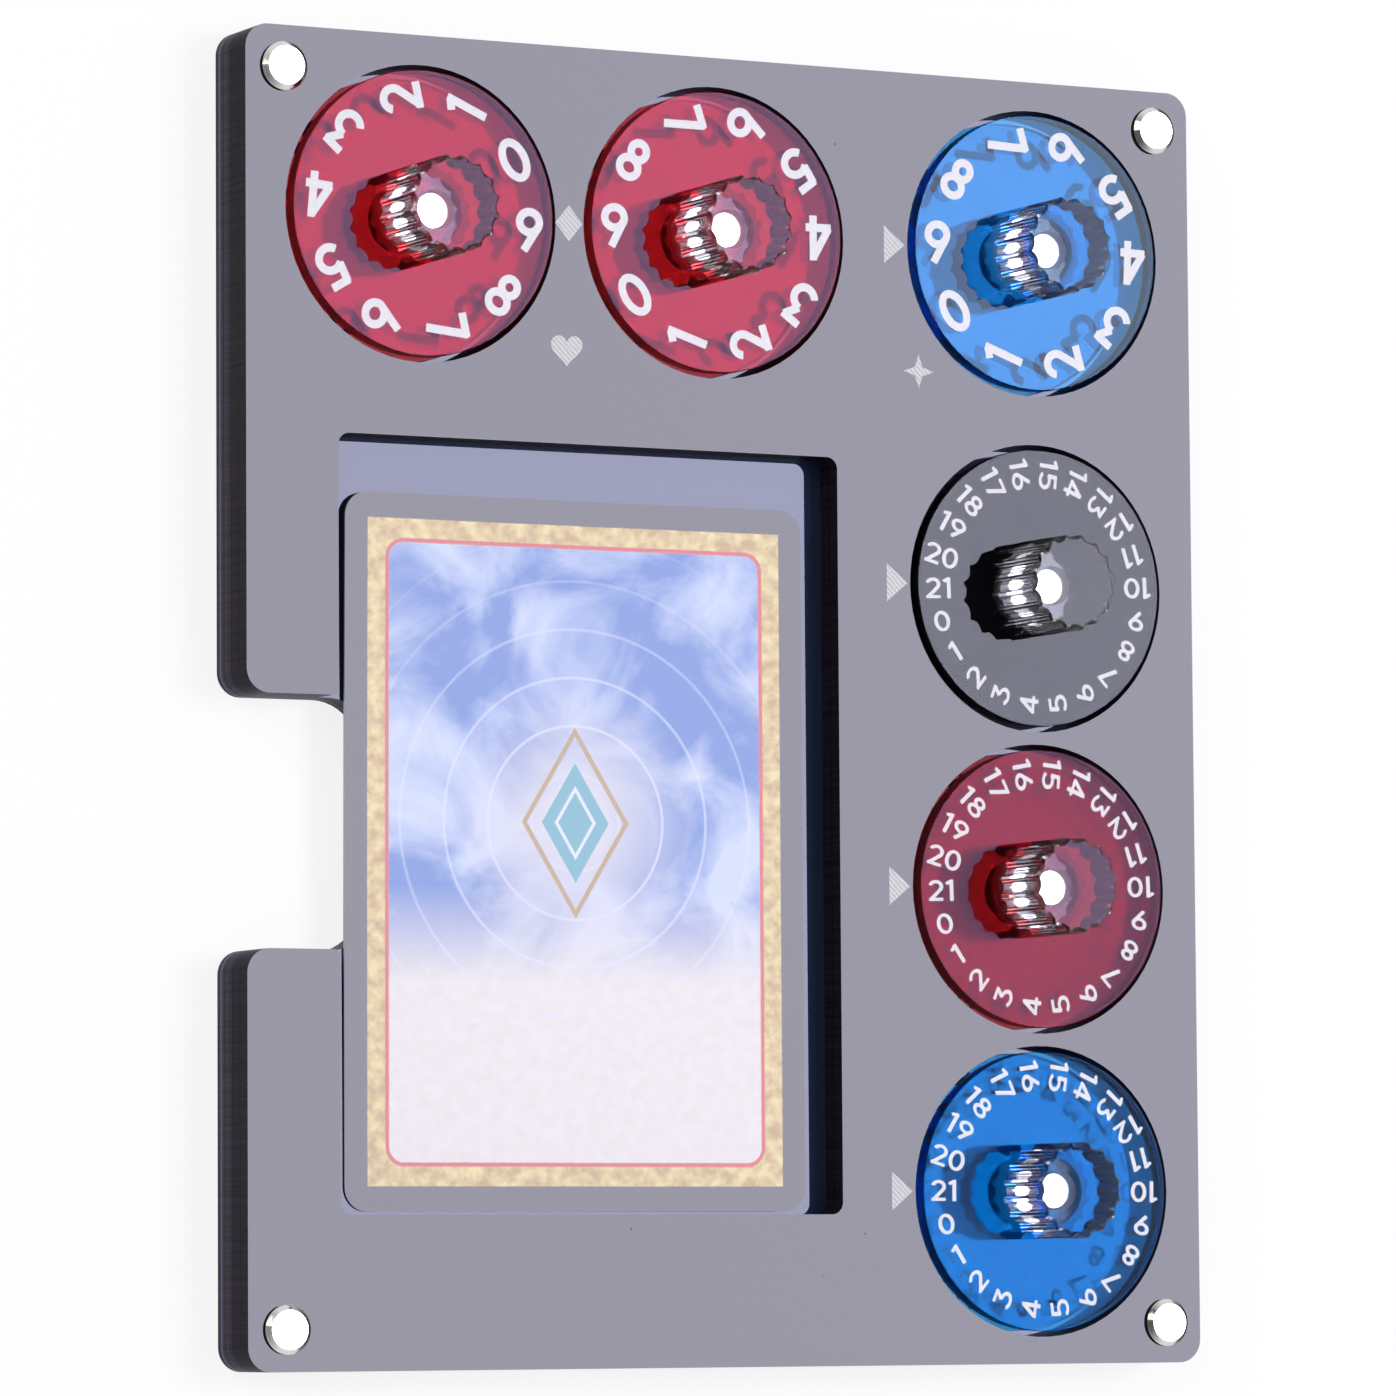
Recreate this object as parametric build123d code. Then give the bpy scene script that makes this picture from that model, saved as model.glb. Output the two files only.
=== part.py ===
from build123d import *
import os

# Card game tray: four laser cut acrylic sheets in a stack, with a card pocket and six number dials.
# The tray lies on its back. X runs to the right across the face, Y up the face, Z out of the face.
# The origin is the middle of the underside. Every length is in millimetres.

# Sheets
tray_width = 133.6
tray_length = 163.6
sheet_thickness = 2.2
tray_corner_radius = 3.0

# Card, and the play round it in its pocket
card_width = 63.0
card_length = 88.0
card_thickness = 0.3
card_corner_radius = 3.0
card_left_play = 2.45
card_right_play = 3.85
card_top_play = 6.7
card_bottom_play = 0.4
pocket_corner_radius = 1.5

# Thumb notch that opens the left edge and runs a little way under the card
notch_length = 30.9
notch_reach = 6.9
notch_end_radius = 6.5
notch_lip_radius = 0.8

# Number dials: a disc that turns in a round well, with a fluted knob glued on top
disc_diameter = 35.3
disc_thickness = 2.2
disc_rise = 0.7
well_play = 0.75
knob_diameter = 12.2
knob_height = 9.0
knob_rim_chamfer = 0.4
flute_count = 16
flute_radius = 1.5
flute_depth = 0.5

# Steel axle of a dial, and the washer that carries the disc clear of the floor
axle_diameter = 4.9
axle_engagement = 1.0
axle_chamfer = 0.3
axle_play = 0.05
washer_diameter = 8.4

# Webs of sheet between the dial wells. Three wells stand in a row across the tray, and the last of them
# starts the column of four down its right side. The row's webs share out the width that the wells leave,
# and the pocket's margins share out the room that the row and the column leave.
row_top_web = 3.7
row_left_share = 0.228
row_pair_share = 0.166
row_right_share = 0.207
column_first_web = 6.2
column_web = 1.55
pocket_left_share = 0.542
pocket_bottom_share = 0.675

# Barrel and screw that clamp the stack at each corner
post_inset = 5.1
barrel_head_diameter = 6.0
barrel_head_height = 1.0
barrel_head_chamfer = 0.6
barrel_diameter = 4.0
barrel_play = 0.05
barrel_draw_gap = 0.4
screw_diameter = 2.5
screw_play = 0.05
screw_grip = 4.4
screw_tip_gap = 0.5
screw_head_diameter = 5.6
screw_head_height = 1.7
screw_head_play = 0.3
screw_head_chamfer = 0.3
hex_across_flats = 1.5
hex_depth = 0.9

# Heights of the stack
base_top = sheet_thickness
floor_z = base_top + sheet_thickness
spacer_top = floor_z + sheet_thickness
face_z = spacer_top + sheet_thickness
disc_top = face_z + disc_rise
disc_bottom = disc_top - disc_thickness

# Outer edges
left_edge = -tray_width / 2
right_edge = tray_width / 2
lower_edge = -tray_length / 2
upper_edge = tray_length / 2

# Dial centres
well_diameter = disc_diameter + 2 * well_play
row_room = tray_width - 3 * well_diameter
tens_x = left_edge + row_left_share * row_room + well_diameter / 2
units_x = tens_x + well_diameter + row_pair_share * row_room
column_x = right_edge - row_right_share * row_room - well_diameter / 2
row_y = upper_edge - row_top_web - well_diameter / 2
smoke_y = row_y - well_diameter - column_first_web
red_y = smoke_y - well_diameter - column_web
blue_y = red_y - well_diameter - column_web
dial_places = {
    "life_tens": (tens_x, row_y),
    "life_units": (units_x, row_y),
    "cast_count": (column_x, row_y),
    "smoke_tally": (column_x, smoke_y),
    "red_tally": (column_x, red_y),
    "blue_tally": (column_x, blue_y),
}

# The pocket follows the card, between the outer edges and the wells of the row and the column
pocket_width = card_left_play + card_width + card_right_play
pocket_length = card_length + card_top_play + card_bottom_play
side_room = column_x - well_diameter / 2 - left_edge - pocket_width
end_room = row_y - well_diameter / 2 - lower_edge - pocket_length
pocket_left = left_edge + pocket_left_share * side_room
pocket_bottom = lower_edge + pocket_bottom_share * end_room
pocket_x = pocket_left + pocket_width / 2
pocket_y = pocket_bottom + pocket_length / 2
card_x = pocket_left + card_left_play + card_width / 2
card_y = pocket_bottom + card_bottom_play + card_length / 2

# Corner posts
post_x = right_edge - post_inset
post_y = upper_edge - post_inset
post_places = [(x, y) for x in (-post_x, post_x) for y in (-post_y, post_y)]


def holes(places, diameter):
    """Round holes of one size as one sketch."""
    return Sketch() + [Pos(x, y) * Circle(diameter / 2) for x, y in places]


def rounded_rod(diameter, length, chamfer_size):
    """An upright rod that stands on the XY plane, with its upper rim chamfered."""
    rod = extrude(Circle(diameter / 2), length)
    return chamfer(rod.edges().group_by(Axis.Z)[-1], chamfer_size)


def round_corners(outline):
    """Round the outer corners, and the corners where the notch opens as far as the left wall allows."""
    mouth = outline.vertices().group_by(Axis.X)[0].sort_by(Axis.Y)[1:-1]
    outline = fillet(mouth, min(tray_corner_radius, (pocket_left - left_edge) / 2))
    for side in (0, -1):
        corners = outline.vertices().group_by(Axis.X)[side].sort_by(Axis.Y)
        outline = fillet([corners[0], corners[-1]], tray_corner_radius)
    return outline


def lower_outline():
    """Outline of the two lower sheets: the notch ends in a rounded bay under the card."""
    notch_run = pocket_left + notch_reach - left_edge
    notch = Pos(left_edge, pocket_y) * RectangleRounded(2 * notch_run, notch_length, notch_end_radius)
    return round_corners(Rectangle(tray_width, tray_length) - notch)


def upper_outline():
    """Outline of the two upper sheets: the pocket is open to the left edge through the notch."""
    pocket = RectangleRounded(pocket_width, pocket_length, pocket_corner_radius)
    notch = Pos(left_edge, pocket_y) * Rectangle(2 * (pocket_left - left_edge), notch_length)
    outline = Rectangle(tray_width, tray_length) - Pos(pocket_x, pocket_y) * pocket - notch
    pocket_wall = outline.vertices().group_by(Axis.X)[1].sort_by(Axis.Y)
    return round_corners(fillet(pocket_wall[1:-1], notch_lip_radius))


def base_sheet():
    """Lowest sheet, with a round pocket at each corner for a screw head."""
    head_holes = holes(post_places, screw_head_diameter + 2 * screw_head_play)
    return extrude(lower_outline() - head_holes, sheet_thickness)


def core_sheet():
    """Second sheet, whose upper side is the floor of the pocket and of the dial wells."""
    post_holes = holes(post_places, barrel_diameter + 2 * barrel_play)
    axle_holes = holes(dial_places.values(), axle_diameter + 2 * axle_play)
    return Pos(0, 0, base_top) * extrude(lower_outline() - post_holes - axle_holes, sheet_thickness)


def open_sheet(bottom_z):
    """One of the two upper sheets, with the pocket, the dial wells and the post holes."""
    post_holes = holes(post_places, barrel_diameter + 2 * barrel_play)
    wells = holes(dial_places.values(), well_diameter)
    return Pos(0, 0, bottom_z) * extrude(upper_outline() - post_holes - wells, sheet_thickness)


def dial_disc(x, y):
    """Clear tinted disc, cut square at its rim, with a bore for its axle."""
    ring = Circle(disc_diameter / 2) - Circle(axle_diameter / 2 + axle_play)
    return Pos(x, y, disc_bottom) * extrude(ring, disc_thickness)


def dial_knob(x, y):
    """Solid knob with scooped flutes all round, its top rim chamfered."""
    flute_ring = knob_diameter / 2 - flute_depth + flute_radius
    flutes = PolarLocations(flute_ring, flute_count) * Circle(flute_radius)
    knob = extrude(Circle(knob_diameter / 2) - flutes, knob_height)
    slope = Pos(0, 0, knob_height - knob_rim_chamfer) * Cone(
        knob_diameter / 2,
        knob_diameter / 2 - knob_rim_chamfer,
        knob_rim_chamfer,
        align=(Align.CENTER, Align.CENTER, Align.MIN),
    )
    body = extrude(Circle(knob_diameter / 2), knob_height - knob_rim_chamfer)
    return Pos(x, y, disc_top) * (knob & (body + slope))


def dial_washer(x, y):
    """Plain ring round the axle, from the floor up to the disc."""
    ring = Circle(washer_diameter / 2) - Circle(axle_diameter / 2 + axle_play)
    return Pos(x, y, floor_z) * extrude(ring, disc_bottom - floor_z)


def dial_axle(x, y):
    """Steel pin pressed into the core sheet, reaching a little way up the disc's bore."""
    length = disc_bottom + axle_engagement - base_top
    return Pos(x, y, base_top) * rounded_rod(axle_diameter, length, axle_chamfer)


def corner_barrel(x, y):
    """Bright barrel nut: a flat head on the face and a bored shank down through three sheets."""
    shank_bottom = base_top + barrel_draw_gap
    bore_length = screw_grip + screw_tip_gap - barrel_draw_gap
    shank = extrude(Circle(barrel_diameter / 2), face_z - shank_bottom)
    shank -= extrude(Circle(screw_diameter / 2 + screw_play), bore_length)
    head = rounded_rod(barrel_head_diameter, barrel_head_height, barrel_head_chamfer)
    return Pos(x, y, shank_bottom) * shank + Pos(x, y, face_z) * head


def corner_screw(x, y):
    """Socket screw whose head lies inside the base sheet and bears on the core sheet."""
    shank = extrude(Circle(screw_diameter / 2), screw_grip)
    head = Pos(0, 0, -screw_head_height) * extrude(Circle(screw_head_diameter / 2), screw_head_height)
    head = chamfer(head.edges().group_by(Axis.Z)[0], screw_head_chamfer)
    socket = RegularPolygon(hex_across_flats / 2, 6, major_radius=False)
    head -= Pos(0, 0, -screw_head_height) * extrude(socket, hex_depth)
    return Pos(x, y, base_top) * (head + shank)


def game_card():
    """One card that lies on the pocket floor, against the lower end."""
    blank = RectangleRounded(card_width, card_length, card_corner_radius)
    return Pos(card_x, card_y, floor_z) * extrude(blank, card_thickness)


nodes = {
    "base_sheet": base_sheet(),
    "core_sheet": core_sheet(),
    "spacer_sheet": open_sheet(floor_z),
    "front_sheet": open_sheet(spacer_top),
    "game_card": game_card(),
    "corner_barrels": Compound(children=[corner_barrel(x, y) for x, y in post_places]),
    "corner_screws": Compound(children=[corner_screw(x, y) for x, y in post_places]),
}
for dial, (x, y) in dial_places.items():
    nodes[dial + "_disc"] = dial_disc(x, y)
    nodes[dial + "_knob"] = dial_knob(x, y)
    nodes[dial + "_washer"] = dial_washer(x, y)
    nodes[dial + "_axle"] = dial_axle(x, y)

os.makedirs("parts", exist_ok=True)
for name, shape in nodes.items():
    export_step(shape, "parts/" + name + ".step")
    print(name, round(shape.volume, 2))
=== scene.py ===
# %% [markdown]
# # A card game tray of stacked acrylic
# The real tray is four sheets of black acrylic, clamped at the corners. It has a pocket for one card and six
# clear number dials. The shapes with a real size come from the CAD model. This lesson gives them their looks.

# %% Load the CAD model
import math

import bmesh
import bpy
from mathutils import Matrix, Vector


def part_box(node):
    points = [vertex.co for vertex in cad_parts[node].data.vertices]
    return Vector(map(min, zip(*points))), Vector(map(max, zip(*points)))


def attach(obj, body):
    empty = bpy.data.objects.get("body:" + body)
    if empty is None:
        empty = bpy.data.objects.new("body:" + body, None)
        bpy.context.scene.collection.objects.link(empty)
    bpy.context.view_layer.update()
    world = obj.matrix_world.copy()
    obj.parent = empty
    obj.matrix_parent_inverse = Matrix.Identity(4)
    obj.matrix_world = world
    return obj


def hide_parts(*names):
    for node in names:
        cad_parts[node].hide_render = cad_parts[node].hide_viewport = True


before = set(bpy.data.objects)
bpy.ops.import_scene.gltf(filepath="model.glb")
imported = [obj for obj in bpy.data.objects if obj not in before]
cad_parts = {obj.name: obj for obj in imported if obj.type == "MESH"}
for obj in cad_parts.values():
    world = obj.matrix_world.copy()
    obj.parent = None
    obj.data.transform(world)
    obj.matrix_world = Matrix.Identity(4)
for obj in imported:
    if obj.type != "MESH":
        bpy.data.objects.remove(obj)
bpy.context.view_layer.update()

# %% [markdown]
# Lengths in this lesson are in metres, as Blender and the CAD model have them. One millimetre gets a name, so
# that a size reads as it would on a drawing. The dials are named by the two CAD nodes that turn together.

# %% Sizes that the looks share
MM = 0.001
DIALS = ("life_tens", "life_units", "cast_count", "smoke_tally", "red_tally", "blue_tally")
TRAY_BODY = "tray"
CARD_BODY = "card"
face_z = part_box("front_sheet")[1].z
sheet_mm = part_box("base_sheet")[1].z / MM


def middle(node_name):
    """The middle of a CAD node's box."""
    low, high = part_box(node_name)
    return (low + high) / 2


disc_low, disc_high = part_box("life_tens_disc")
disc_radius = (disc_high.x - disc_low.x) / 2
disc_bottom, disc_top = disc_low.z, disc_high.z
print("Face at", round(face_z / MM, 2), "mm, disc radius", round(disc_radius / MM, 2), "mm")

# %% [markdown]
# Colours are written as sRGB hex values, as a paint chart gives them. Blender's shaders work with linear light,
# so one function turns a hex value into the linear numbers. A second small function adds a shader node, sets
# its options, and fills or links its inputs. Every material below is made with these two.

# %% Colour and node helpers
def linear(hex_colour):
    """An sRGB hex colour as linear red, green, blue and an alpha of 1."""
    parts = [int(hex_colour[i:i + 2], 16) / 255 for i in (1, 3, 5)]
    return [c / 12.92 if c <= 0.04045 else ((c + 0.055) / 1.055) ** 2.4 for c in parts] + [1]


def add(tree, kind, inputs=(), **options):
    """Add a shader node to a tree. An input that is a socket is linked, and any other value is set."""
    made = tree.nodes.new("ShaderNode" + kind)
    for name, value in options.items():
        setattr(made, name, value)
    for name, value in dict(inputs).items():
        if isinstance(value, bpy.types.NodeSocket):
            tree.links.new(value, made.inputs[name])
        else:
            made.inputs[name].default_value = value
    return made


def new_material(name):
    """A material with an empty node tree."""
    material = bpy.data.materials.new(name)
    material.use_nodes = True
    material.node_tree.nodes.clear()
    return material, material.node_tree


def in_millimetres(tree, centre=(0, 0, 0)):
    """Object coordinates counted in millimetres from a point of the frame."""
    place = add(tree, "TexCoord").outputs["Object"]
    moved = add(tree, "VectorMath", {0: place, 1: tuple(centre)}, operation="SUBTRACT")
    return add(tree, "VectorMath", {0: moved.outputs[0], 3: 1 / MM}, operation="SCALE").outputs[0]


def ramp(tree, value, from_low, from_high, to_low=0.0, to_high=1.0):
    """A value mapped from one range to another and held inside it."""
    levels = {0: value, 1: from_low, 2: from_high, 3: to_low, 4: to_high}
    return add(tree, "MapRange", levels).outputs[0]


def blend(tree, share, first, second):
    """A colour mixed from two by a share from 0 to 1."""
    mixed = add(tree, "Mix", {0: share, 6: first, 7: second}, data_type="RGBA")
    return mixed.outputs[2]


print("Black acrylic in linear light:", [round(c, 3) for c in linear("#101014")])

# %% [markdown]
# The camera stands where the photographer's did: over the left side of the tray, about 28 degrees from straight
# above it, with a long lens. A camera model fitted to the card, the sheets and the discs gave these numbers.

# %% Camera
camera_data = bpy.data.cameras.new("photo_camera")
camera_data.sensor_width = 36
camera_data.lens = 199.8
camera_data.clip_start = 0.05
camera_data.clip_end = 20
camera = bpy.data.objects.new("photo_camera", camera_data)
camera.location = (-0.45374, -0.07373, 0.85875)
camera.rotation_euler = [math.radians(a) for a in (4.662, -27.790, -0.435)]
bpy.context.collection.objects.link(camera)
bpy.context.scene.camera = camera
bpy.context.scene.view_settings.view_transform = "Standard"
print("Camera lens", camera_data.lens, "mm")

# %% [markdown]
# Polished acrylic shows mostly what it mirrors. In the photograph the flat faces look pale grey because a soft
# light panel lies in their mirror direction. So the key light is a panel placed just there, at the height of a
# studio lamp. A larger and weaker panel on the other side and an even sky fill the shadows.

# %% Lights
AIM = Vector((-5.2 * MM, 1.2 * MM, face_z))
to_camera = (camera.location - AIM).normalized()
mirror_way = Vector((-to_camera.x, -to_camera.y, to_camera.z))
PANEL_AWAY = 1.14
FILL_PLACE = (-0.95, 0.55, 0.9)


def light_panel(name, place, width, height, radiance, hex_colour):
    """A soft rectangular light that faces the tray. Its power follows from its area and its radiance."""
    data = bpy.data.lights.new(name, "AREA")
    data.shape = "RECTANGLE"
    data.size, data.size_y = width, height
    data.color = linear(hex_colour)[:3]
    data.energy = radiance * math.pi * width * height
    lamp = bpy.data.objects.new(name, data)
    lamp.location = place
    lamp.rotation_mode = "QUATERNION"
    lamp.rotation_quaternion = (AIM - Vector(place)).to_track_quat("-Z", "Y")
    bpy.context.collection.objects.link(lamp)


mirror_place = AIM + mirror_way * PANEL_AWAY
light_panel("mirror_panel", mirror_place, width=0.43, height=0.52, radiance=9.2, hex_colour="#eeebff")
light_panel("fill_panel", FILL_PLACE, width=0.9, height=0.9, radiance=1.6, hex_colour="#fff8ea")
print("Mirror panel stands", [round(c, 3) for c in mirror_place])

# %% [markdown]
# The sky is an even pale grey for the light that it sends to the tray. Where the camera, a mirror or clear
# plastic looks at it, it is white down at the horizon and dim overhead, as a studio's dark ceiling is. The clear
# knobs need that dark: without it they look like chrome.

# %% Sky
def looked_at(tree):
    """1 where the camera, a mirror or clear plastic looks, and 0 for the light that falls on the tray."""
    rays = add(tree, "LightPath").outputs
    direct = add(tree, "Math", {0: rays["Is Camera Ray"], 1: rays["Is Glossy Ray"]}, operation="MAXIMUM")
    through = {0: direct.outputs[0], 1: rays["Is Transmission Ray"]}
    return add(tree, "Math", through, operation="MAXIMUM").outputs[0]


SKY_LIGHT = 0.35
CEILING_SEEN = 0.12

world = bpy.data.worlds.new("studio")
world.use_nodes = True
sky = world.node_tree
sky.nodes.clear()
upward = add(sky, "SeparateXYZ", {0: add(sky, "TexCoord").outputs["Generated"]}).outputs[2]
overhead = ramp(sky, upward, 0.2, 0.5, 1, CEILING_SEEN)
strength = ramp(sky, looked_at(sky), 0, 1, SKY_LIGHT, overhead)
white_sky = add(sky, "Background", {"Color": linear("#ffffff"), "Strength": strength})
add(sky, "OutputWorld", {"Surface": white_sky.outputs[0]})
bpy.context.scene.world = world
print("The sky lights the tray at a strength of", SKY_LIGHT)

# %% [markdown]
# The floor is white to the same rays as the sky, but it keeps part of its real shading, so that the tray
# throws a soft shadow. From below it lets the camera through. It lies a hair under the tray, so no surface is
# shared.

# %% Floor
FLOOR_HALF = 6
FLOOR_DROP = 0.02 * MM

floor_material, tree = new_material("pale studio floor")
paint = add(tree, "BsdfDiffuse", {"Color": linear("#ffffff")})
glow = add(tree, "Emission", {"Color": linear("#ffffff"), "Strength": 1.05})
white = add(tree, "MixShader", {0: 0.8, 1: paint.outputs[0], 2: glow.outputs[0]})
pale = add(tree, "BsdfDiffuse", {"Color": linear("#dcdcdc")})
upper = add(tree, "MixShader", {0: looked_at(tree), 1: pale.outputs[0], 2: white.outputs[0]})
lower = add(tree, "BsdfTransparent")
side = add(tree, "NewGeometry").outputs["Backfacing"]
both = add(tree, "MixShader", {0: side, 1: upper.outputs[0], 2: lower.outputs[0]})
add(tree, "OutputMaterial", {"Surface": both.outputs[0]})

bm = bmesh.new()
bmesh.ops.create_grid(bm, x_segments=1, y_segments=1, size=FLOOR_HALF)
floor_mesh = bpy.data.meshes.new("studio_floor")
bm.to_mesh(floor_mesh)
bm.free()
floor_mesh.materials.append(floor_material)
studio_floor = bpy.data.objects.new("studio_floor", floor_mesh)
studio_floor.location.z = -FLOOR_DROP
bpy.context.collection.objects.link(studio_floor)
print("Floor", 2 * FLOOR_HALF, "m square")

# %% [markdown]
# The sheets are cast acrylic, black all through. Their faces keep the mirror polish of the casting, with a few
# specks of dust, while a laser cut leaves the edges darker and faintly striped. Two shaders mixed by the
# direction of the surface give both finishes, so the same material serves all four sheets.

# %% Black cast acrylic
def levelness(tree):
    """1 on a level face and 0 on an upright edge."""
    lie = add(tree, "SeparateXYZ", {0: add(tree, "NewGeometry").outputs["Normal"]}).outputs[2]
    return add(tree, "Math", {0: lie}, operation="ABSOLUTE").outputs[0]


def black_cast_acrylic(name, ior, mirrored, body, haze):
    """Cast acrylic sheet: polished faces with dust, and laser cut edges with fine upright stripes."""
    material, tree = new_material(name)
    place = in_millimetres(tree)
    # A dust speck stands in some cells of a 3 mm grid of random points.
    cells = add(tree, "TexVoronoi", {"Vector": place, "Scale": 1 / 3}, voronoi_dimensions="3D")
    chance = add(tree, "SeparateColor", {0: cells.outputs["Color"]}).outputs[0]
    size = ramp(tree, chance, 0.75, 1, 0, 0.045)
    speck = add(tree, "Math", {0: cells.outputs["Distance"], 1: size}, operation="LESS_THAN").outputs[0]
    # Handling dulls the polish a little, in patches of about 25 mm.
    mist = add(tree, "TexNoise", {"Vector": place, "Scale": 1 / 25, "Detail": 3}).outputs[0]
    face = add(tree, "BsdfPrincipled", {
        "Base Color": linear(body), "Roughness": ramp(tree, mist, 0.3, 0.7, 0.6 * haze, haze),
        "IOR": ior, "Specular Tint": linear(mirrored)})
    dust = add(tree, "BsdfPrincipled", {"Base Color": linear("#3a3940"), "Roughness": 0.5, "IOR": 1.49})
    face = add(tree, "MixShader", {0: speck, 1: face.outputs[0], 2: dust.outputs[0]})
    # The laser leaves stripes about 0.3 mm apart that run up the edge, and the sheets meet in a fine dark seam.
    # The cut edges of the two lower sheets are painted lighter than the two upper ones, as painted light from the
    # floor.
    height = add(tree, "SeparateXYZ", {0: place}).outputs[2]
    layer = add(tree, "Math", {0: height, 1: sheet_mm}, operation="DIVIDE").outputs[0]
    near = add(tree, "Math", {0: layer, 1: 0.5}, operation="PINGPONG").outputs[0]
    seam = ramp(tree, near, 0.03, 0.05, 1, 0)
    across = add(tree, "VectorMath", {0: place, 1: (1, 1, 0.02)}, operation="MULTIPLY").outputs[0]
    stripes = add(tree, "TexNoise", {"Vector": across, "Scale": 3, "Detail": 2}).outputs[0]
    striped = ramp(tree, stripes, 0.35, 0.65)
    upper = blend(tree, striped, linear("#1e1925"), linear("#2b2531"))
    lower = blend(tree, striped, linear("#423d4d"), linear("#514b5e"))
    cut = blend(tree, ramp(tree, layer, 1.2, 2.2), lower, upper)
    # A thin light line along the lowest sheet is a painted highlight.
    painted_highlight_line = add(tree, "Math", {0: layer, 1: 0.5, 2: 0.13}, operation="COMPARE").outputs[0]
    cut = blend(tree, painted_highlight_line, cut, linear("#6f758d"))
    relief = add(tree, "Bump", {"Strength": 0.25, "Distance": 0.02 * MM, "Height": stripes})
    edge = add(tree, "BsdfPrincipled", {
        "Base Color": blend(tree, seam, cut, linear("#08080a")), "Roughness": 0.42, "IOR": 1.3,
        "Specular IOR Level": 0.07, "Normal": relief.outputs[0]})
    flat = ramp(tree, levelness(tree), 0.4, 0.6)
    both = add(tree, "MixShader", {0: flat, 1: edge.outputs[0], 2: face.outputs[0]})
    add(tree, "OutputMaterial", {"Surface": both.outputs[0]})
    return material


# The sheet under the card and the dials has a harder and shinier face, with a blue cast.
sheet_acrylic = black_cast_acrylic(
    "cast acrylic, black, polished", ior=1.49, mirrored="#ffffff", body="#1e1e24", haze=0.04)
floor_acrylic = black_cast_acrylic(
    "cast acrylic, black, hard coated", ior=1.6, mirrored="#e2e6f2", body="#293450", haze=0.012)


def dress(node_names, material):
    """Give CAD nodes a finish and leave their shapes alone."""
    for name in node_names:
        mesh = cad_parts[name].data
        mesh.materials.clear()
        mesh.materials.append(material)


dress(["base_sheet", "spacer_sheet", "front_sheet"], sheet_acrylic)
dress(["core_sheet"], floor_acrylic)
print("Sheets dressed in", sheet_acrylic.name)

# %% [markdown]
# The dial discs are clear acrylic dyed in the mass, so light loses colour along its way through them. That is
# what a Volume Absorption node does: the face stays light and the rim, where the way is long, goes dark. The
# knobs are the same plastic without dye. Light from the lamps may pass both, or the wells would stay black.

# %% Clear and dyed acrylic
def clear_acrylic(name, glare, inner_glare, edge_frost=0.0, passed=None, density=0.0):
    """Clear acrylic with polished faces. The two glares are what its faces mirror from outside and from inside,
    edge_frost is how rough its upright edges are, and passed is the colour that the dye lets through."""
    material, tree = new_material(name)
    place = in_millimetres(tree)
    # Handling leaves faint wipe marks a few millimetres long.
    wiped = add(tree, "VectorMath", {0: place, 1: (0.25, 1, 1)}, operation="MULTIPLY").outputs[0]
    marks = add(tree, "TexNoise", {"Vector": wiped, "Scale": 0.8, "Detail": 4}).outputs[0]
    wear = ramp(tree, marks, 0.45, 0.75, 0.0, 0.012)
    frost = ramp(tree, levelness(tree), 0.2, 0.4, edge_frost, 0)
    dullness = add(tree, "Math", {0: wear, 1: frost}, operation="MAXIMUM").outputs[0]
    outer, inner = [add(tree, "BsdfPrincipled", {
        "Base Color": linear("#ffffff"), "Roughness": dullness, "IOR": 1.49, "Transmission Weight": 1.0,
        "Specular Tint": linear(tint)}) for tint in (glare, inner_glare)]
    within = add(tree, "NewGeometry").outputs["Backfacing"]
    glass = add(tree, "MixShader", {0: within, 1: outer.outputs[0], 2: inner.outputs[0]})
    lamp_way = add(tree, "BsdfTransparent", {"Color": linear("#f4f4f6")})
    shadow = add(tree, "LightPath").outputs["Is Shadow Ray"]
    both = add(tree, "MixShader", {0: shadow, 1: glass.outputs[0], 2: lamp_way.outputs[0]})
    output = add(tree, "OutputMaterial", {"Surface": both.outputs[0]})
    if passed:
        dye = add(tree, "VolumeAbsorption", {"Color": linear(passed), "Density": density})
        tree.links.new(dye.outputs[0], output.inputs["Volume"])
    return material


# The upper red pair shares a dye, and the red and blue at the foot of the column are deeper.
# The glare tints are painted per dial: a painted reflection for each dial's own angle to the lamp.
RED_FROST, DISC_FROST, KNOB_FROST = 0.42, 0.3, 0.16
red = clear_acrylic("cast acrylic, dyed red", "#a888a8", "#c8c8c8", RED_FROST, "#fb0030", 1000)
deep_red = clear_acrylic("cast acrylic, dyed deep red", "#9a6c88", "#a8a8a8", RED_FROST, "#ee0018", 1000)
blue = clear_acrylic("cast acrylic, dyed blue", "#95a8a6", "#d8d8d8", DISC_FROST, "#00e4ff", 850)
deep_blue = clear_acrylic("cast acrylic, dyed deep blue", "#344a58", "#b8b8b8", DISC_FROST, "#00e8ff", 1100)
smoke = clear_acrylic("cast acrylic, dyed smoke grey", "#cacdd2", "#404040", DISC_FROST, "#101018", 1500)
# The knobs are copies of one water clear acrylic. Their glare tints are painted reflection, set per dial to
# follow the discs.
clear = clear_acrylic("cast acrylic, water clear", "#848a90", "#848484", KNOB_FROST)
lilac_glare_clear = clear_acrylic("cast acrylic, water clear, painted lilac glare", "#a690ac", "#848484", KNOB_FROST)
bright_glare_clear = clear_acrylic("cast acrylic, water clear, painted bright glare", "#cacdd2", "#848484", KNOB_FROST)
dim_glare_clear = clear_acrylic("cast acrylic, water clear, painted dim glare", "#303030", "#848484", KNOB_FROST)
# Each dial: the material of its disc, the slot that this finish belongs to, and the material of its knob.
DIAL_FINISH = {
    "life_tens": (red, "red_acrylic", lilac_glare_clear),
    "life_units": (red, "red_acrylic", lilac_glare_clear),
    "cast_count": (blue, "blue_acrylic", clear),
    "smoke_tally": (smoke, "smoke_acrylic", bright_glare_clear),
    "red_tally": (deep_red, "red_acrylic", lilac_glare_clear),
    "blue_tally": (deep_blue, "blue_acrylic", dim_glare_clear),
}
print("Dials dressed in", len({finish[0] for finish in DIAL_FINISH.values()}), "dyed acrylics")
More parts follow.
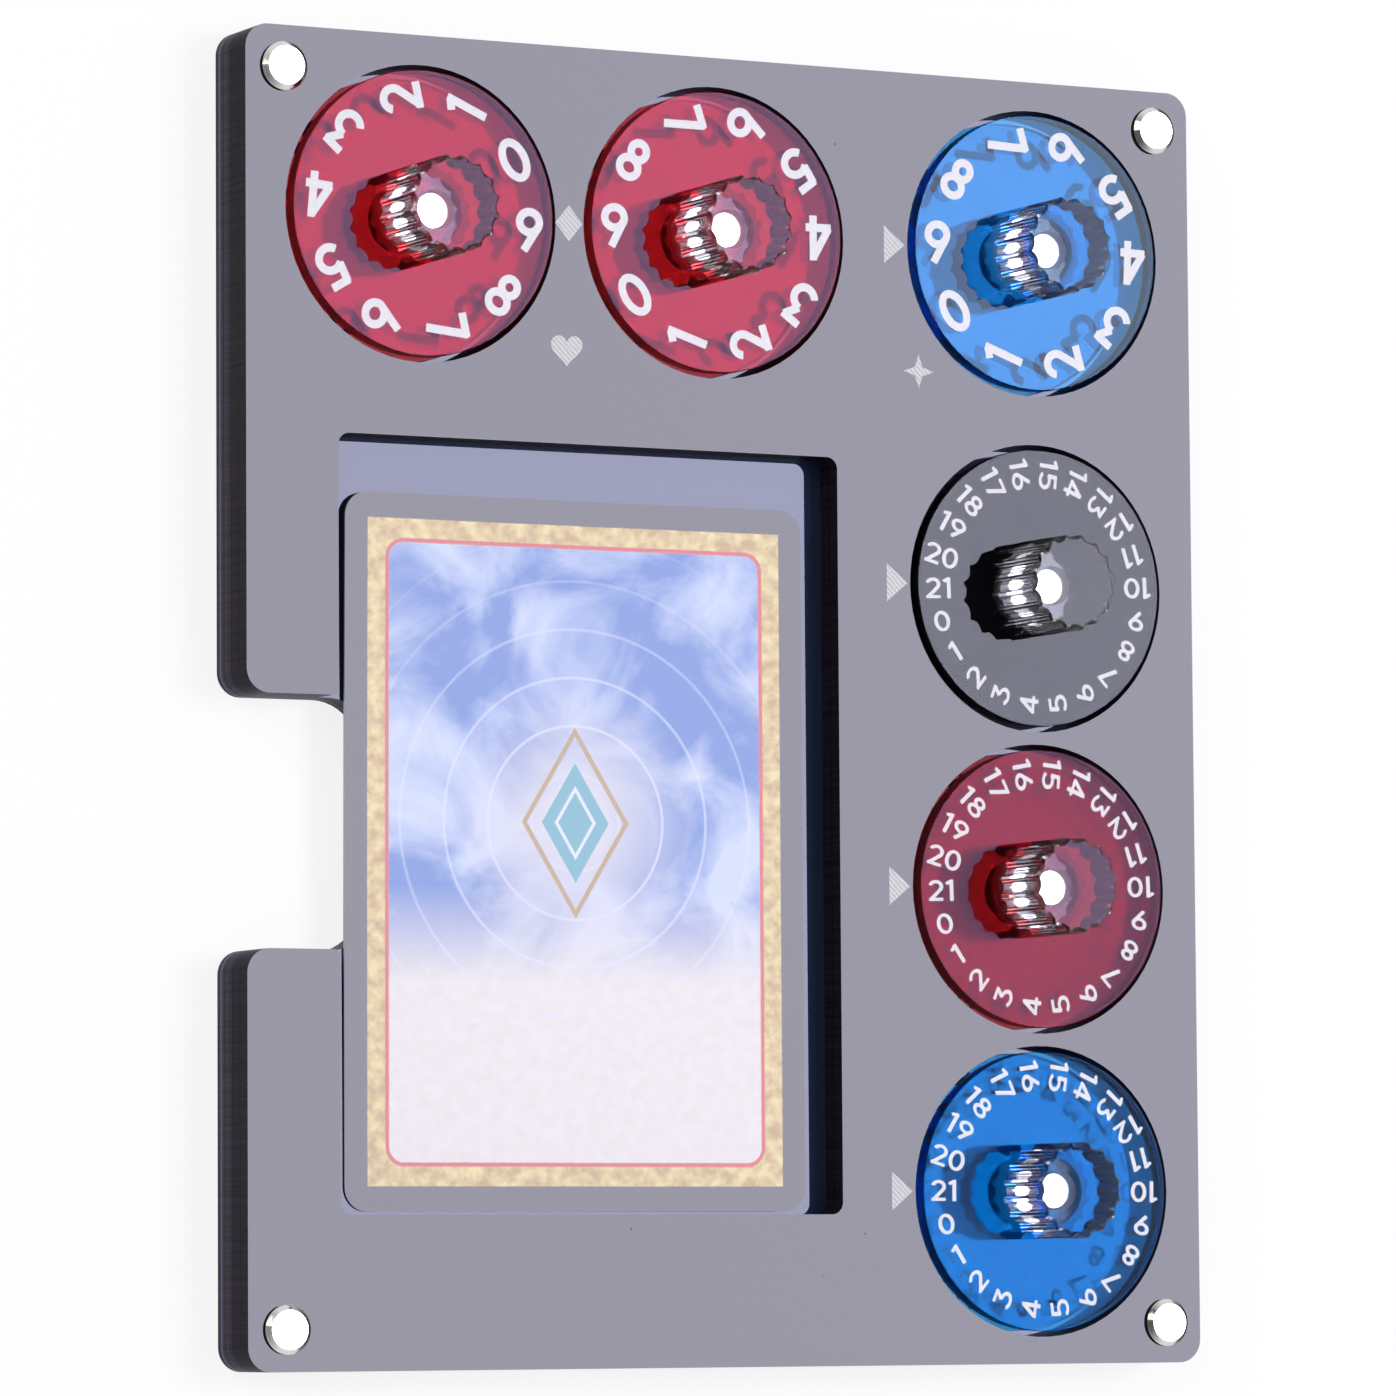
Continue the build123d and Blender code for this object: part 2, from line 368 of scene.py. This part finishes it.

# %% [markdown]
# A piece that is made here starts as a bmesh and ends as an object at the origin, with its place in its mesh.
# One function does that last step: it leaves level faces flat, smooths the rest up to the sharp edges, hands over
# the material, says which body the piece moves with, and hides the CAD node that it stands for.

# %% From bmesh to piece
SHARP_DEGREES = 35
SHARP = math.radians(SHARP_DEGREES)
LEVEL = 0.999


def finish_piece(name, bm, material, body, stands_for=()):
    """Turn a bmesh into a finished piece that rides on a body of the CAD model."""
    bmesh.ops.recalc_face_normals(bm, faces=bm.faces)
    for face in bm.faces:
        face.smooth = abs(face.normal.z) < LEVEL
    for edge in bm.edges:
        edge.smooth = edge.is_manifold and edge.calc_face_angle(0) < SHARP
    mesh = bpy.data.meshes.new(name)
    bm.to_mesh(mesh)
    bm.free()
    mesh.materials.append(material)
    piece = bpy.data.objects.new(name, mesh)
    bpy.context.collection.objects.link(piece)
    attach(piece, body)
    if stands_for:
        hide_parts(*stands_for)
    print(name, len(mesh.polygons), "faces")


def lathe(outline, steps):
    """Spin a closed outline of (radius, height) points round the Z axis."""
    bm = bmesh.new()
    points = [bm.verts.new((radius, 0, height)) for radius, height in outline]
    lines = [bm.edges.new(pair) for pair in zip(points, points[1:] + points[:1])]
    bmesh.ops.spin(
        bm, geom=points + lines, cent=(0, 0, 0), axis=(0, 0, 1), angle=math.tau, steps=steps, use_merge=True)
    bmesh.ops.remove_doubles(bm, verts=bm.verts, dist=0.001 * MM)
    return bm


def shift(bm, offset):
    """Move everything in a bmesh."""
    bmesh.ops.translate(bm, vec=offset, verts=bm.verts)


def raise_face(bm, height):
    """Extrude a bmesh's flat face straight up, to a plate or a rod."""
    raised = bmesh.ops.extrude_face_region(bm, geom=bm.faces[:])["geom"]
    top = [vert for vert in raised if isinstance(vert, bmesh.types.BMVert)]
    bmesh.ops.translate(bm, vec=(0, 0, height), verts=top)


print("Edges that bend by more than", SHARP_DEGREES, "degrees stay sharp")

# %% [markdown]
# A disc is cut from sheet by laser, so its rim is square, with only a hair of roundness that catches the light.
# Spinning a small rectangle round the axis gives the disc and its bore in one step. A cylinder with a hole
# cut by a Boolean would do as well, but leaves a ragged mesh.

# %% Discs
BORE_RADIUS = 2.5 * MM
RIM_ROUND = 0.08 * MM
SEAT_GAP = 0.02 * MM
DISC_STEPS = 160

for dial in DIALS:
    bottom, top = disc_bottom + SEAT_GAP, disc_top
    section = [(BORE_RADIUS, bottom), (disc_radius, bottom), (disc_radius, top), (BORE_RADIUS, top)]
    bm = lathe(section, DISC_STEPS)
    sharp = [edge for edge in bm.edges if edge.calc_face_angle(0) > SHARP]
    rims = [edge for edge in sharp if edge.verts[0].co.xy.length > disc_radius / 2]
    bmesh.ops.bevel(
        bm, geom=rims, offset=RIM_ROUND, segments=2, profile=0.5, material=-1, affect="EDGES")
    centre = middle(dial + "_disc")
    shift(bm, (centre.x, centre.y, 0))
    material, slot, _ = DIAL_FINISH[dial]
    finish_piece(dial + "_disc_clear", bm, material, dial + "_dial", [dial + "_disc"])

# %% [markdown]
# A knob is a solid rod of clear acrylic with sixteen flutes scooped from its side. Each flute is an arc of a
# circle that stands outside the knob. So the outline starts as a circle, and each of its points moves to the
# place that the arc gives it.

# %% Outline of a fluted knob
FLUTES = 16
FLUTE_STEPS = 20
KNOB_RADIUS = 6.1 * MM
FLUTE_RADIUS = 1.5 * MM
FLUTE_DEPTH = 0.5 * MM
FLUTE_CENTRE = KNOB_RADIUS - FLUTE_DEPTH + FLUTE_RADIUS
# Half the angle that a flute takes from the knob's circle, by the law of cosines.
flute_half = math.acos(
    (FLUTE_CENTRE**2 + KNOB_RADIUS**2 - FLUTE_RADIUS**2) / (2 * FLUTE_CENTRE * KNOB_RADIUS))


def fluted_point(index):
    """The place of one point of the knob's outline. Every flute has its arc and one point of land."""
    flute, step = divmod(index, FLUTE_STEPS + 2)
    if step > FLUTE_STEPS:
        turn, radius = math.pi / FLUTES, KNOB_RADIUS
    else:
        turn = flute_half * (2 * step / FLUTE_STEPS - 1)
        reach = FLUTE_RADIUS**2 - (FLUTE_CENTRE * math.sin(turn))**2
        radius = FLUTE_CENTRE * math.cos(turn) - math.sqrt(max(reach, 0))
    turn += flute * math.tau / FLUTES
    return Vector((radius * math.cos(turn), radius * math.sin(turn), 0))


print("A flute takes", round(2 * math.degrees(flute_half), 1), "degrees of the knob's circle")

# %% [markdown]
# Extruding the outline makes the rod, and a bevel breaks its top rim. The knob is glued on its disc. Its lower
# face lies a hair inside the disc, so that no film of air shows in the joint.

# %% Knobs
GLUE_DEPTH = 0.02 * MM
KNOB_RIM = 0.35 * MM
knob_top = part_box("life_tens_knob")[1].z

for dial in DIALS:
    bm = bmesh.new()
    count = FLUTES * (FLUTE_STEPS + 2)
    outline = bmesh.ops.create_circle(bm, cap_ends=True, segments=count, radius=KNOB_RADIUS)["verts"]
    outline.sort(key=lambda v: math.atan2(v.co.y, v.co.x) % math.tau)
    for index, vert in enumerate(outline):
        vert.co = fluted_point(index)
    height = knob_top - disc_top + GLUE_DEPTH
    raise_face(bm, height)
    rim = [edge for edge in bm.edges if all(v.co.z > height / 2 for v in edge.verts)]
    bmesh.ops.bevel(
        bm, geom=rim, offset=KNOB_RIM, offset_type="OFFSET", segments=1, profile=0.5, material=-1,
        affect="EDGES", clamp_overlap=True)
    centre = middle(dial + "_disc")
    shift(bm, (centre.x, centre.y, disc_top - GLUE_DEPTH))
    material = DIAL_FINISH[dial][2]
    finish_piece(dial + "_knob_clear", bm, material, dial + "_dial", [dial + "_knob"])

# %% [markdown]
# The numbers are white paint in plain figures. A pen of constant width draws each one, so a figure is a few
# strokes: curves that Blender gives a round section, which is then pressed flat. A font would be quicker, but
# these plain open figures, with a flat topped 3 and straight stems on 6 and 9, are easy to draw. Each stroke
# lies a hair higher than the one before, so that two flat tops never share a plane.

# %% Figures drawn with a pen
def arc(x, y, across, up, start, end, steps=20):
    """Points on an ellipse from one angle in degrees to another."""
    turns = [math.radians(start + (end - start) * i / steps) for i in range(steps + 1)]
    return [(x + across * math.cos(t), y + up * math.sin(t)) for t in turns]


def turned(strokes):
    """A figure turned upside down."""
    return [[(-x, 1 - y) for x, y in stroke] for stroke in strokes]


SIX = [arc(0, 0.31, 0.24, 0.225, 0, 360), [(-0.21, 0.4), (0.085, 0.95)]]
FIGURES = {
    "0": [arc(0, 0.5, 0.25, 0.415, 0, 360)],
    "1": [[(0.05, 0), (0.05, 1)], [(-0.17, 0.8), (0.05, 0.93)]],
    "2": [arc(0, 0.68, 0.23, 0.235, 165, -38) + [(-0.2, 0.09)], [(-0.29, 0.085), (0.29, 0.085)]],
    "3": [[(-0.24, 0.915), (0.24, 0.915)], [(0.19, 0.92), (-0.03, 0.58)],
          arc(-0.02, 0.335, 0.26, 0.25, 95, -150)],
    "4": [[(0.12, 0), (0.12, 1)], [(0.12, 0.93), (-0.27, 0.27)], [(-0.32, 0.27), (0.31, 0.27)]],
    "5": [[(0.24, 0.915), (-0.22, 0.915)], [(-0.16, 0.95), (-0.19, 0.5)],
          arc(-0.02, 0.335, 0.26, 0.25, 140, -150)],
    "6": SIX,
    "7": [[(-0.27, 0.915), (0.27, 0.915)], [(0.22, 0.96), (-0.1, 0)]],
    "8": [arc(0, 0.725, 0.19, 0.19, 0, 360), arc(0, 0.295, 0.235, 0.21, 0, 360)],
    "9": turned(SIX),
}
# How much higher each stroke lies than the one before, as a share of the figure's height.
STROKE_STEP = 0.02


def draw_figure(figure, pen_width):
    """One figure as a mesh, a unit high, standing on the X axis."""
    data = bpy.data.curves.new("pen_strokes", "CURVE")
    data.dimensions = "3D"
    data.bevel_depth = pen_width / 2
    data.bevel_resolution = 1
    data.use_fill_caps = True
    for level, stroke in enumerate(FIGURES[figure]):
        closed = (Vector(stroke[0]) - Vector(stroke[-1])).length < 0.001
        points = stroke[:-1] if closed else stroke
        spline = data.splines.new("POLY")
        spline.points.add(len(points) - 1)
        for point, (x, y) in zip(spline.points, points):
            point.co = (x, y, STROKE_STEP * level, 1)
        spline.use_cyclic_u = closed
    pen = bpy.data.objects.new("pen_strokes", data)
    mesh = bpy.data.meshes.new_from_object(pen)
    bpy.data.objects.remove(pen)
    bpy.data.curves.remove(data)
    return mesh


print("Figure 0 has", len(draw_figure("0", 0.18).polygons), "faces")

# %% [markdown]
# The numbers are printed with white screen paint. It is matt, and it covers a little less in some places, so two
# nearly equal whites and a very low bump keep it from looking like a sticker.

# %% White paint
def white_paint():
    """White screen paint: matt, with a faint unevenness in patches of 0.7 mm where the ink lies thinner."""
    material, tree = new_material("screen paint, white")
    place = in_millimetres(tree)
    cover = add(tree, "TexNoise", {"Vector": place, "Scale": 1.5, "Detail": 3}).outputs[0]
    ink = blend(tree, ramp(tree, cover, 0.3, 0.7), linear("#f3f5fb"), linear("#ffffff"))
    relief = add(tree, "Bump", {"Strength": 0.1, "Distance": 0.01 * MM, "Height": cover})
    matt = add(tree, "BsdfPrincipled", {
        "Base Color": ink, "Roughness": 0.45, "IOR": 1.5, "Normal": relief.outputs[0]})
    add(tree, "OutputMaterial", {"Surface": matt.outputs[0]})
    return material


paint_white = white_paint()
print("Numbers are painted with", paint_white.name)

# %% [markdown]
# Each dial carries its numbers in a ring that counts up to the left. They are turned so that a number stands
# upright when it is at the dial's mark. The two dials of a pair face each other: the first has its mark on its
# right side and the others have it on their left. A dial set by hand stands a few degrees off its mark.

# %% Numbers on the dials
PAINT = 0.03 * MM
# Each dial: how many numbers, the mark's direction in degrees, and how far the dial stands off it.
NUMBERS = {
    "life_tens": (10, 0, -5.5),
    "life_units": (10, 180, 0.3),
    "cast_count": (10, 180, -2.0),
    "smoke_tally": (22, 180, 2.0),
    "red_tally": (22, 180, 1.9),
    "blue_tally": (22, 180, -0.3),
}
# Each ring: height and radius in millimetres, pen width as a share of the height, and stretch sideways.
RINGS = {10: (5.7, 14.4, 0.185, 1.0), 22: (2.7, 14.95, 0.155, 1.32)}
# Room that a figure takes, as a share of its height. A number of two figures stands a little further in.
FIGURE_WIDTH = 0.72
NARROW_FIGURES = {"1": 0.46}
TWO_FIGURE_INSET = 0.3


def add_number(bm, number, meshes, size, place):
    """Set a number's figures side by side in a bmesh, scaled to a size, at a place in the frame."""
    widths = [NARROW_FIGURES.get(figure, FIGURE_WIDTH) for figure in number]
    left = -sum(widths) / 2
    for figure, width in zip(number, widths):
        before = len(bm.verts)
        bm.from_mesh(meshes[figure])
        bm.verts.ensure_lookup_table()
        new = bm.verts[before:]
        bmesh.ops.translate(bm, vec=(left + width / 2, -0.5, 0), verts=new)
        bmesh.ops.scale(bm, vec=size, verts=new)
        bmesh.ops.transform(bm, matrix=place, verts=new)
        left += width


for dial in DIALS:
    count, mark, off = NUMBERS[dial]
    height, radius, pen_width, stretch = RINGS[count]
    meshes = {figure: draw_figure(figure, pen_width) for figure in FIGURES}
    # The upper half of a round stroke becomes the paint, and the lower half sinks into the disc.
    size = (height * stretch * MM, height * MM, PAINT / (pen_width / 2))
    centre = middle(dial + "_disc")
    bm = bmesh.new()
    for number in range(count):
        turn = math.radians(mark + off + (number + 1) * 360 / count)
        reach = (radius - (TWO_FIGURE_INSET if number > 9 else 0)) * MM
        spot = Vector((centre.x + reach * math.cos(turn), centre.y + reach * math.sin(turn), disc_top))
        upright = Matrix.Rotation(turn - math.radians(mark), 4, "Z")
        add_number(bm, str(number), meshes, size, Matrix.Translation(spot) @ upright)
    finish_piece(dial + "_numbers", bm, paint_white, dial + "_dial")

# %% [markdown]
# A laser engraves acrylic in fine lines and leaves it white and rough. Real scan lines are a tenth of a
# millimetre apart, which is too fine to show, so the wave texture draws them 0.5 mm apart.

# %% Laser frost
def frosted_acrylic():
    """Laser engraving: white frost in slanted scan lines, 0.5 mm apart so that they show."""
    material, tree = new_material("cast acrylic, laser frosted")
    place = in_millimetres(tree)
    lines = add(tree, "TexWave", {
        "Vector": place, "Scale": 0.9, "Distortion": 2.0, "Detail": 2, "Detail Scale": 1.5},
        wave_type="BANDS", bands_direction="DIAGONAL")
    frost = blend(tree, lines.outputs[1], linear("#cccbcb"), linear("#f4f3f4"))
    relief = add(tree, "Bump", {"Strength": 0.3, "Distance": 0.02 * MM, "Height": lines.outputs[1]})
    rough = add(tree, "BsdfPrincipled", {
        "Base Color": frost, "Roughness": 0.55, "IOR": 1.49, "Normal": relief.outputs[0]})
    add(tree, "OutputMaterial", {"Surface": rough.outputs[0]})
    return material


frost = frosted_acrylic()
print("Marks are", frost.name)

# %% [markdown]
# The laser has frosted small marks into the face: a triangle that points at each dial of the column, a diamond
# between the two dials of the pair, and a heart and a star that say what the dials count. Each mark is a thin
# plate set into the face. It starts as a circle, whose points then move to the outline.

# %% Marks on the face
MARK_PROUD = 0.03 * MM
MARK_SUNK = 0.02 * MM
# Places in millimetres.
SIGN_ROW = 43.7
STAR_X = 26.7
HEART_SHIFT = -0.5
DIAMOND_SHIFT = -0.1
POINTER_AWAY = 20.3


def mark_plate(name, count, outline, x, y):
    """A thin plate set into the face. A circle's points move to outline(share of a turn), in millimetres."""
    bm = bmesh.new()
    ring = bmesh.ops.create_circle(bm, cap_ends=True, segments=count, radius=1)["verts"]
    ring.sort(key=lambda v: math.atan2(v.co.y, v.co.x) % math.tau)
    for index, vert in enumerate(ring):
        across, up = outline(index / count)
        vert.co = ((x + across) * MM, (y + up) * MM, face_z - MARK_SUNK)
    raise_face(bm, MARK_SUNK + MARK_PROUD)
    finish_piece(name, bm, frost, TRAY_BODY)


def diamond(share):
    """A diamond 3.8 mm wide and 4.5 mm tall."""
    return 1.9 * math.cos(share * math.tau), 2.25 * math.sin(share * math.tau)


def pointer(share):
    """A triangle 3 mm long and 4.9 mm tall that points right."""
    return {0: (1.5, 0), 1: (-1.5, 2.45), 2: (-1.5, -2.45)}[round(share * 3)]


def heart(share):
    """A heart 4.4 mm wide, with its notch at the top."""
    turn = share * math.tau
    wave = 13 * math.cos(turn) - 5 * math.cos(2 * turn) - 2 * math.cos(3 * turn) - math.cos(4 * turn)
    scale = 4.4 / 32  # The curve is 32 units wide.
    return -16 * math.sin(turn)**3 * scale, wave * scale + 0.3


def star(share):
    """A star with four points, 4.4 mm across."""
    reach = 2.2 if round(share * 8) % 2 == 0 else 0.8
    return reach * math.cos(share * math.tau), reach * math.sin(share * math.tau)


pair_middle = (middle("life_tens_disc") + middle("life_units_disc")) / 2
mark_plate("pair_diamond", 4, diamond, pair_middle.x / MM + DIAMOND_SHIFT, pair_middle.y / MM)
mark_plate("pair_heart", 64, heart, pair_middle.x / MM + HEART_SHIFT, SIGN_ROW)
mark_plate("count_star", 8, star, STAR_X, SIGN_ROW)
for dial in DIALS[2:]:
    centre = middle(dial + "_disc") / MM
    mark_plate(dial + "_pointer", 3, pointer, centre.x - POINTER_AWAY, centre.y)

# %% [markdown]
# The hardware keeps its CAD shapes and gets its finish here. The barrel nuts are turned brass with bright nickel
# on top, so their flat heads mirror the lamp and blow out to white while their bevelled rims stay dark. The
# turning leaves rings too fine to see one by one, so they are drawn 0.4 mm apart, as a faint change in the
# polish.

# %% Hardware finishes
RING_TURN = 16  # Radians in a millimetre: one ring every 0.4 mm.
HEAD_RADIUS = 3  # A barrel's head is 6 mm across.


def turned_metal(name, hex_colour, polish, centres):
    """Bright turned metal with fine rings round each of its centres."""
    material, tree = new_material(name)
    place = in_millimetres(tree)
    nearest = None
    for x, y in centres:
        away = add(tree, "VectorMath", {0: place, 1: (x, y, 0)}, operation="SUBTRACT").outputs[0]
        flat = add(tree, "VectorMath", {0: away, 1: (1, 1, 0)}, operation="MULTIPLY").outputs[0]
        radius = add(tree, "VectorMath", {0: flat}, operation="LENGTH").outputs["Value"]
        nearest = radius if nearest is None else add(
            tree, "Math", {0: nearest, 1: radius}, operation="MINIMUM").outputs[0]
    turns = add(tree, "Math", {0: nearest, 1: RING_TURN}, operation="MULTIPLY").outputs[0]
    waves = add(tree, "Math", {0: turns}, operation="SINE").outputs[0]
    relief = add(tree, "Bump", {"Strength": 0.08, "Distance": 0.01 * MM, "Height": waves})
    metal = add(tree, "BsdfPrincipled", {
        "Base Color": linear(hex_colour), "Metallic": 1.0,
        "Roughness": ramp(tree, waves, -1, 1, polish, polish + 0.05), "Normal": relief.outputs[0]})
    add(tree, "OutputMaterial", {"Surface": metal.outputs[0]})
    return material


barrel_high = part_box("corner_barrels")[1]
post_x, post_y = barrel_high.x / MM - HEAD_RADIUS, barrel_high.y / MM - HEAD_RADIUS
posts = [(x, y) for x in (-post_x, post_x) for y in (-post_y, post_y)]
dress(["corner_barrels"], turned_metal("brass, turned and nickel plated", "#d9d6d2", 0.08, posts))
dress(["corner_screws"], turned_metal("alloy steel, black oxide", "#2c2c2e", 0.35, posts))
pins = [tuple(middle(dial + "_axle").xy / MM) for dial in DIALS]
dress([dial + "_axle" for dial in DIALS], turned_metal("steel rod, ground", "#d4d3d2", 0.15, pins))
print("Posts at", posts)

# %% [markdown]
# The washers under the discs are plain black nylon with a faint moulded grain. Little of them shows: a dark ring
# round each bright pin.

# %% Washers
def moulded_nylon():
    """Black moulded nylon: satin, with a fine even grain about 0.4 mm across."""
    material, tree = new_material("nylon, moulded, black")
    place = in_millimetres(tree)
    grain = add(tree, "TexNoise", {"Vector": place, "Scale": 2.5, "Detail": 2}).outputs[0]
    relief = add(tree, "Bump", {"Strength": 0.2, "Distance": 0.02 * MM, "Height": grain})
    satin = add(tree, "BsdfPrincipled", {
        "Base Color": blend(tree, grain, linear("#17171a"), linear("#232327")), "Roughness": 0.4,
        "IOR": 1.53, "Normal": relief.outputs[0]})
    add(tree, "OutputMaterial", {"Surface": satin.outputs[0]})
    return material


dress([dial + "_washer" for dial in DIALS], moulded_nylon())
print("Washers dressed")

# %% [markdown]
# The card is thin coated stock that has warped a little, so all but its lower left corner stands clear of the
# floor. A flat grid gets its rounded corners with a vertex bevel, is cut into rows and columns so that it can
# bend, and is lifted by a smooth rule. Solidify then gives it its thickness.

# %% Card
card_low, card_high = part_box("game_card")
card_size = card_high - card_low
card_middle = (card_low + card_high) / 2
CARD_ROUND = 3 * MM
CARD_COLUMNS, CARD_ROWS = 12, 16
RIGHT_LIFT, TOP_LIFT = 1.3 * MM, 0.8 * MM

bm = bmesh.new()
bmesh.ops.create_grid(bm, x_segments=1, y_segments=1, size=0.5)
bmesh.ops.scale(bm, vec=(card_size.x, card_size.y, 1), verts=bm.verts)
bmesh.ops.bevel(
    bm, geom=bm.verts[:], offset=CARD_ROUND, offset_type="OFFSET", segments=8, profile=0.5, material=-1,
    affect="VERTICES")
for axis, cuts in (((1, 0, 0), CARD_COLUMNS), ((0, 1, 0), CARD_ROWS)):
    for cut in range(1, cuts):
        place = Vector(axis) * (cut / cuts - 0.5) * (card_size.x if axis[0] else card_size.y)
        everything = bm.verts[:] + bm.edges[:] + bm.faces[:]
        bmesh.ops.bisect_plane(bm, geom=everything, dist=0.0001 * MM, plane_co=place, plane_no=axis)
for vert in bm.verts:
    right = 0.5 + vert.co.x / card_size.x
    up = 0.5 + vert.co.y / card_size.y
    vert.co.z = RIGHT_LIFT * right**2 + TOP_LIFT * ((1 - right) * up)**2
bmesh.ops.recalc_face_normals(bm, faces=bm.faces)
if sum(face.normal.z for face in bm.faces) < 0:
    bmesh.ops.reverse_faces(bm, faces=bm.faces)
bmesh.ops.solidify(bm, geom=bm.faces[:], thickness=card_size.z)
lowest = min(v.co.z for v in bm.verts)
shift(bm, (card_middle.x, card_middle.y, card_low.z - lowest))
print("Card", [round(c / MM, 2) for c in card_size], "mm, lifted up to", RIGHT_LIFT / MM, "mm")

# %% [markdown]
# Bands that follow the card's outline come from a distance: how far a point lies inside a rounded rectangle.
# Rings and a diamond come from distances too. So the whole print is a procedure, sharp at any size. These three
# helpers make the distance, and turn one into a filled area or a thin line.

# %% Distances for the print
PRINT_SOFTNESS = 0.12


def rounded_edge(tree, place, width, length, radius):
    """Distance in millimetres from the edge of a rounded rectangle, below zero inside it."""
    folded = add(tree, "VectorMath", {0: place}, operation="ABSOLUTE").outputs[0]
    corner = (width / 2 - radius, length / 2 - radius, 0)
    beyond = add(tree, "VectorMath", {0: folded, 1: corner}, operation="SUBTRACT").outputs[0]
    outer = add(tree, "VectorMath", {0: beyond, 1: (0, 0, 0)}, operation="MAXIMUM").outputs[0]
    reach = add(tree, "VectorMath", {0: outer}, operation="LENGTH").outputs["Value"]
    parts = add(tree, "SeparateXYZ", {0: beyond})
    larger = add(tree, "Math", {0: parts.outputs[0], 1: parts.outputs[1]}, operation="MAXIMUM").outputs[0]
    inner = add(tree, "Math", {0: larger, 1: 0}, operation="MINIMUM").outputs[0]
    total = add(tree, "Math", {0: reach, 1: inner}, operation="ADD").outputs[0]
    return add(tree, "Math", {0: total, 1: radius}, operation="SUBTRACT").outputs[0]


def inside(tree, distance, limit=0.0):
    """1 where a distance is below a limit, with an edge as soft as print."""
    return ramp(tree, distance, limit - PRINT_SOFTNESS / 2, limit + PRINT_SOFTNESS / 2, 1, 0)


def line_at(tree, distance, level, half_width):
    """1 on a thin line where a distance has a given level."""
    away = add(tree, "Math", {0: distance, 1: level}, operation="SUBTRACT").outputs[0]
    away = add(tree, "Math", {0: away}, operation="ABSOLUTE").outputs[0]
    return inside(tree, away, half_width)


print("The print's edges are", PRINT_SOFTNESS, "mm soft")

# %% [markdown]
# The print on the card is a plain design of our own: a dark border, a gilt frame with a red line inside it, and a
# marbled panel with rings and a diamond. A gloss coat over it mirrors the lamp as the tray does.

# %% Printed card finish
# Widths in millimetres, both from the card's cut edge.
BORDER = 3.1
FRAME = 6


def printed_card():
    """Coated card: a generic print under a gloss varnish that the press left very slightly uneven."""
    material, tree = new_material("card stock, printed and varnished")
    from_middle = in_millimetres(tree, (card_middle.x, card_middle.y, 0))
    place = add(tree, "VectorMath", {0: from_middle, 1: (1, 1, 0)}, operation="MULTIPLY").outputs[0]
    width, length = card_size.x / MM, card_size.y / MM
    edge = rounded_edge(tree, place, width, length, CARD_ROUND / MM)
    # The gilt frame is mottled, as foil print is, in patches of about 2 mm.
    patches = add(tree, "TexNoise", {"Vector": place, "Scale": 0.6, "Detail": 4}).outputs[0]
    gilt = blend(tree, ramp(tree, patches, 0.35, 0.65), linear("#b98f2a"), linear("#e6d47c"))
    colour = blend(tree, inside(tree, edge, -BORDER), linear("#1c1c20"), gilt)
    # The panel goes from a marbled blue at the top to cream at the bottom.
    parts = add(tree, "SeparateXYZ", {0: place})
    clouds = add(tree, "TexNoise", {"Vector": place, "Scale": 0.07, "Detail": 5, "Distortion": 0.6}).outputs[0]
    marbled = blend(tree, ramp(tree, clouds, 0.42, 0.62), linear("#0a6ac4"), linear("#bccdea"))
    cream = blend(tree, ramp(tree, patches, 0.3, 0.7), linear("#dcd6cf"), linear("#e2dedc"))
    panel = blend(tree, ramp(tree, parts.outputs[1], -16, -4), cream, marbled)
    # Rings spread from the middle, and a diamond stands inside the smallest.
    middle_up = add(tree, "VectorMath", {0: place, 1: (0, 4, 0)}, operation="SUBTRACT").outputs[0]
    radius = add(tree, "VectorMath", {0: middle_up}, operation="LENGTH").outputs["Value"]
    step = add(tree, "Math", {0: radius, 1: 3.0}, operation="PINGPONG").outputs[0]
    rings = inside(tree, step, 0.18)
    fade = ramp(tree, radius, 8, 34, 0.75, 0.1)
    rings = add(tree, "Math", {0: rings, 1: fade}, operation="MULTIPLY").outputs[0]
    panel = blend(tree, rings, panel, linear("#d8dcf0"))
    glow = ramp(tree, radius, 4, 17, 1, 0)
    panel = blend(tree, glow, panel, linear("#cfcfd8"))
    folded = add(tree, "VectorMath", {0: middle_up}, operation="ABSOLUTE").outputs[0]
    slope = add(tree, "VectorMath", {0: folded, 1: (1, 0.62, 0)}, operation="DOT_PRODUCT").outputs["Value"]
    panel = blend(tree, line_at(tree, slope, 7, 0.35), panel, linear("#a9842c"))
    panel = blend(tree, inside(tree, slope, 4.6), panel, linear("#2f9fb4"))
    panel = blend(tree, line_at(tree, slope, 2.6, 0.25), panel, linear("#d8dcf0"))
    inner = rounded_edge(tree, place, width - 2 * FRAME, length - 2 * FRAME, 2)
    colour = blend(tree, inside(tree, inner), colour, panel)
    colour = blend(tree, line_at(tree, inner, 0.25, 0.25), colour, linear("#d00008"))
    # The cut edge shows the white core of the stock.
    flat = ramp(tree, levelness(tree), 0.4, 0.6)
    colour = blend(tree, flat, linear("#cfcac2"), colour)
    pulp = add(tree, "TexNoise", {"Vector": place, "Scale": 1.2, "Detail": 3}).outputs[0]
    relief = add(tree, "Bump", {"Strength": 0.05, "Distance": 0.02 * MM, "Height": pulp})
    varnish = add(tree, "BsdfPrincipled", {
        "Base Color": colour, "Roughness": 0.12, "IOR": 1.5, "Normal": relief.outputs[0]})
    add(tree, "OutputMaterial", {"Surface": varnish.outputs[0]})
    return material


finish_piece("card_bowed", bm, printed_card(), CARD_BODY, ["game_card"])
